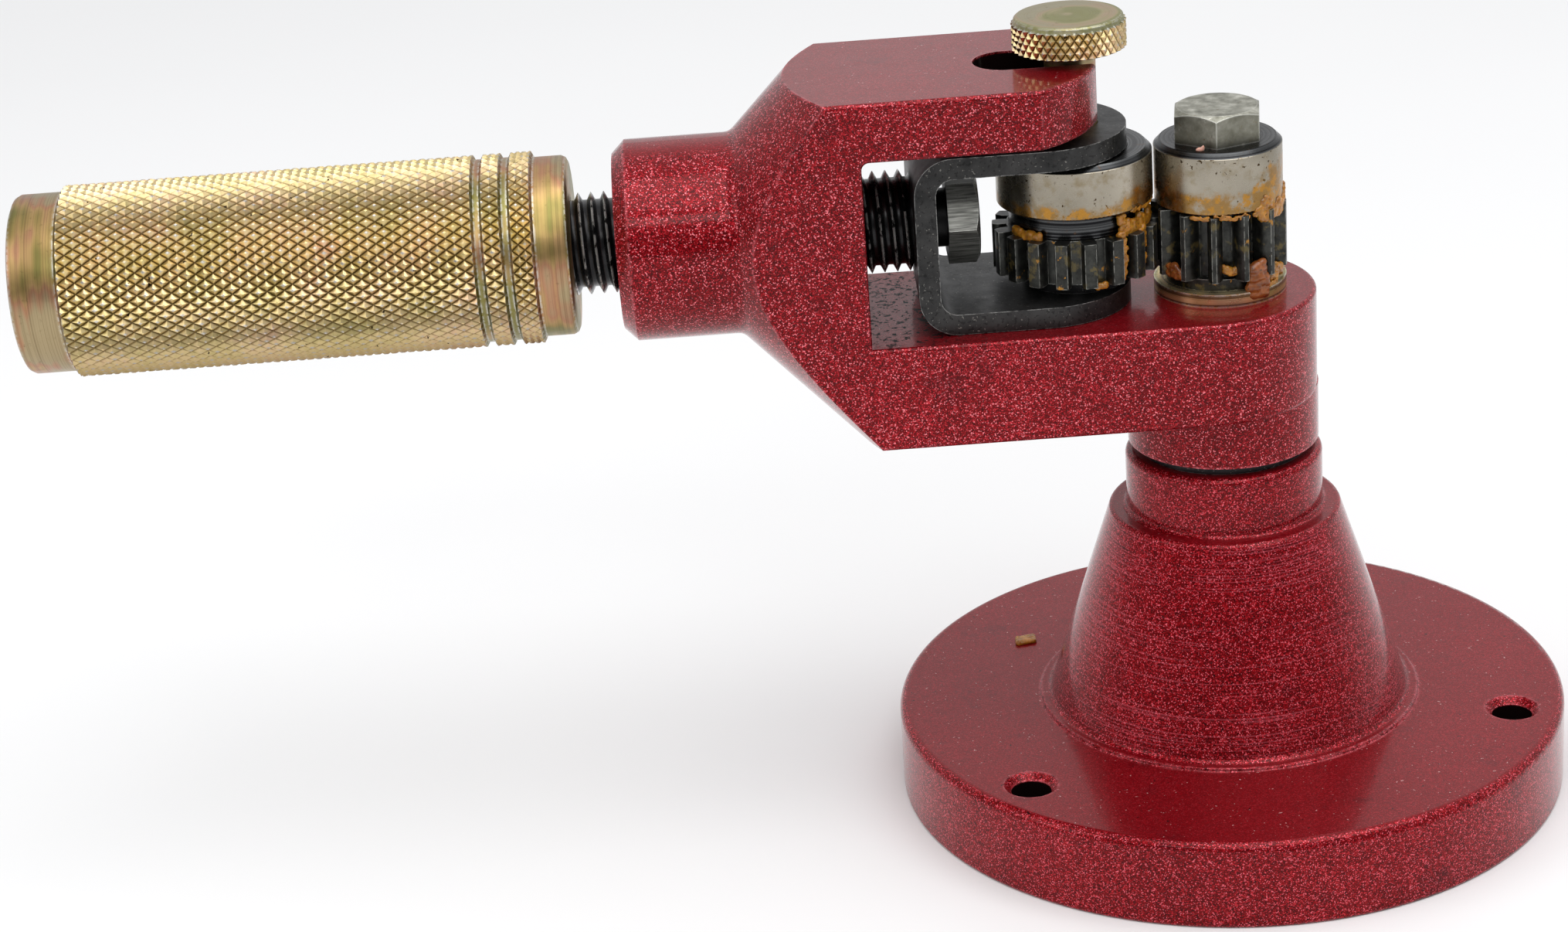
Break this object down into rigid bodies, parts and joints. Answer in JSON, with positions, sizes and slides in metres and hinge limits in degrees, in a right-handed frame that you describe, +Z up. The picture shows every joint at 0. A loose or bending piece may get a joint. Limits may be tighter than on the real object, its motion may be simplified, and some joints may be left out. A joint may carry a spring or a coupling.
{
  "type": "hand crank roller tool",
  "caption": "Bench-mounted hand roller: an arm swings round a fixed geared roller while a feed screw presses a second geared roller against it.",
  "frame": {"origin": "centre of the pedestal's underside, on the spindle's axis", "axes": "+Z up along the spindle's axis, -X along the arm towards the grip"},
  "size_m": [0.2415, 0.109, 0.1306],
  "materials": {
    "red_paint": "candy red enamel with fine metal flake",
    "yellow_zinc": "yellow passivated zinc plate, knurled",
    "black_thread": "black oxide, oiled",
    "black_steel": "black oxide",
    "black_plate": "black plate with worn bright edges",
    "gear_steel": "dark oiled steel with grease",
    "ground_steel": "ground and polished rim, dark faces",
    "zinc_bolt": "grey zinc plate",
    "bronze": "oiled bronze"
  },
  "bodies": {
    "base": {"base_pedestal": "red_paint", "spindle": "black_steel", "spindle_key": "black_steel", "spindle_washer": "zinc_bolt", "spindle_nut": "zinc_bolt", "thrust_washer": "black_steel", "spacer_collar": "yellow_zinc", "fixed_gear": "gear_steel", "fixed_roller": "ground_steel", "gear_key": "black_steel", "roller_bolt": "zinc_bolt"},
    "arm": {"arm_frame": "red_paint", "upper_bush": "bronze", "lower_bush": "bronze"},
    "carriage": {"yoke": "black_plate", "lower_roller_washer": "black_steel", "upper_roller_washer": "black_steel"},
    "pressure_wheel": {"pressure_gear": "gear_steel", "pressure_roller": "ground_steel", "pressure_bush": "bronze", "roller_dowels": "black_steel"},
    "pin": {"axle_pin": "yellow_zinc", "thumb_knob": "yellow_zinc"},
    "screw": {"feed_screw": "black_thread", "handle_grip": "yellow_zinc", "grip_set_screw": "black_steel", "retaining_bolt": "black_steel"}
  },
  "joints": [
    {"name": "arm_swing", "type": "hinge", "parent": "base", "child": "arm", "pos_m": [0, 0, 0.07], "axis": [0, 0, 1], "continuous": true},
    {"name": "carriage_slide", "type": "slide", "parent": "arm", "child": "carriage", "axis": [-1, 0, 0], "range_m": [0, 0.00701]},
    {"name": "handle_turn", "type": "hinge", "parent": "carriage", "child": "screw", "pos_m": [-0.06, 0, 0.0995], "axis": [-1, 0, 0], "range_deg": [0, 1260]},
    {"name": "pressure_roller_spin", "type": "hinge", "parent": "carriage", "child": "pressure_wheel", "pos_m": [-0.0225, 0, 0.1], "axis": [0, 0, 1], "continuous": true},
    {"name": "axle_pin_turn", "type": "hinge", "parent": "carriage", "child": "pin", "pos_m": [-0.0225, 0, 0.1], "axis": [0, 0, 1], "range_deg": [0, 900]}
  ],
  "couplings": [
    {"joint": "carriage_slide", "follows": "handle_turn", "m_per_rad": 0.00031831},
    {"joint": "pressure_roller_spin", "follows": "arm_swing", "ratio": 0.72222}
  ]
}
